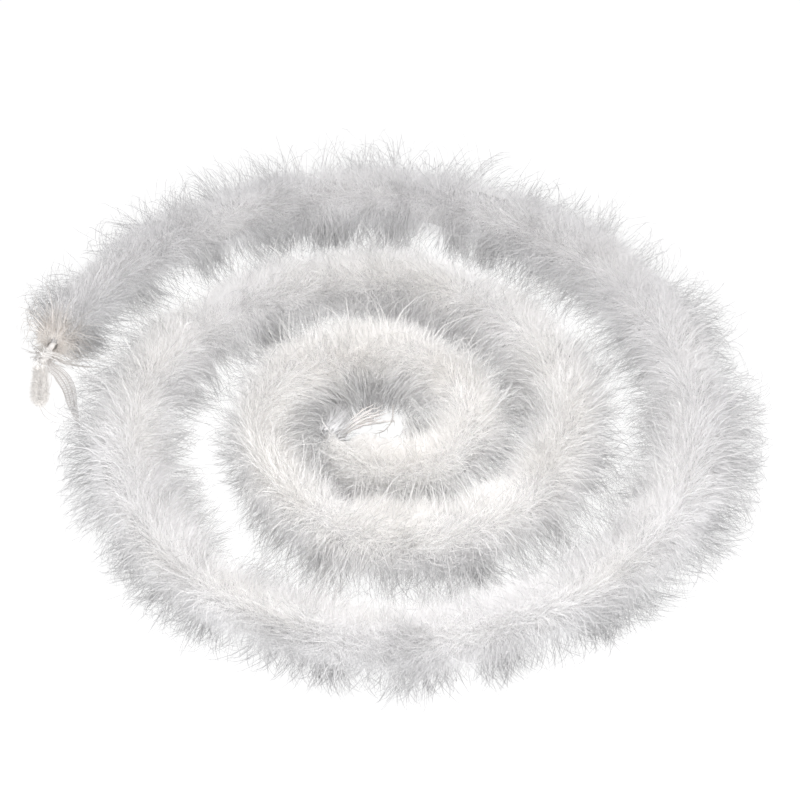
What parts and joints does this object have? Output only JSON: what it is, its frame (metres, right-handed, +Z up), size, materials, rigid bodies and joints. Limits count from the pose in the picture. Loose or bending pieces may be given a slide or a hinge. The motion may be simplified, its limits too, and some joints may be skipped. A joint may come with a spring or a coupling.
{
  "type": "marabou feather boa",
  "caption": "Fluffy white down boa on a soft core cord, laid in a loose flat spiral whose outer turn unrolls, with a whipped outer end, a folded cord loop and fanned inner plies.",
  "frame": {"origin": "on the surface the boa lies on, under the middle of its box", "axes": "+Z up; +X to the right and +Y away from the viewer who faces the open outer end on the left"},
  "size_m": [0.383, 0.3716, 0.0407],
  "materials": {
    "down": "matte",
    "core_cord": "matte",
    "thread": "satin",
    "netting": "matte",
    "quill": "satin",
    "plies": "matte"
  },
  "bodies": {
    "coil": {"down_sleeve_09": "down", "down_sleeve_10": "down", "down_sleeve_11": "down", "down_sleeve_12": "down", "down_sleeve_13": "down", "down_sleeve_14": "down", "down_sleeve_15": "down", "down_sleeve_16": "down", "down_sleeve_17": "down", "down_sleeve_18": "down", "down_sleeve_19": "down", "down_sleeve_20": "down", "down_sleeve_21": "down", "down_sleeve_22": "down", "down_sleeve_23": "down", "down_sleeve_24": "down", "core_cord_coil": "core_cord"},
    "outer_a": {"down_sleeve_07": "down", "down_sleeve_08": "down", "core_cord_outer_a": "core_cord"},
    "outer_b": {"down_sleeve_05": "down", "down_sleeve_06": "down", "core_cord_outer_b": "core_cord"},
    "outer_c": {"down_sleeve_03": "down", "down_sleeve_04": "down", "core_cord_outer_c": "core_cord"},
    "outer_d": {"down_sleeve_01": "down", "down_sleeve_02": "down", "core_cord_outer_d": "core_cord", "outer_whipping": "thread", "outer_knot": "thread", "net_tail": "netting", "bare_quill": "quill"},
    "loop": {"end_loop": "core_cord"},
    "inner_tip": {"down_sleeve_25": "down", "core_cord_inner": "core_cord", "inner_whipping": "thread", "inner_ply_1": "plies", "inner_ply_2": "plies", "inner_ply_3": "plies", "inner_ply_4": "plies", "inner_ply_5": "plies", "inner_ply_6": "plies", "inner_ply_7": "plies"}
  },
  "joints": [
    {"name": "unroll_a", "type": "hinge", "parent": "coil", "child": "outer_a", "pos_m": [0.17058, -0.00527, 0.0185], "axis": [0, 0, -1], "range_deg": [0, 25]},
    {"name": "unroll_b", "type": "hinge", "parent": "outer_a", "child": "outer_b", "pos_m": [0.12454, 0.10776, 0.0185], "axis": [0, 0, -1], "range_deg": [0, 28]},
    {"name": "unroll_c", "type": "hinge", "parent": "outer_b", "child": "outer_c", "pos_m": [0.01566, 0.16308, 0.0185], "axis": [0, 0, -1], "range_deg": [0, 30]},
    {"name": "unroll_d", "type": "hinge", "parent": "outer_c", "child": "outer_d", "pos_m": [-0.10343, 0.13561, 0.0185], "axis": [0, 0, -1], "range_deg": [0, 30]},
    {"name": "loop_swing", "type": "hinge", "parent": "outer_d", "child": "loop", "pos_m": [-0.18367, 0.0243, 0.01392], "axis": [0, 0, 1], "range_deg": [-25, 20]},
    {"name": "curl_in", "type": "hinge", "parent": "coil", "child": "inner_tip", "pos_m": [0.02351, -0.05581, 0.0185], "axis": [0, 0, -1], "range_deg": [0, 12]}
  ]
}
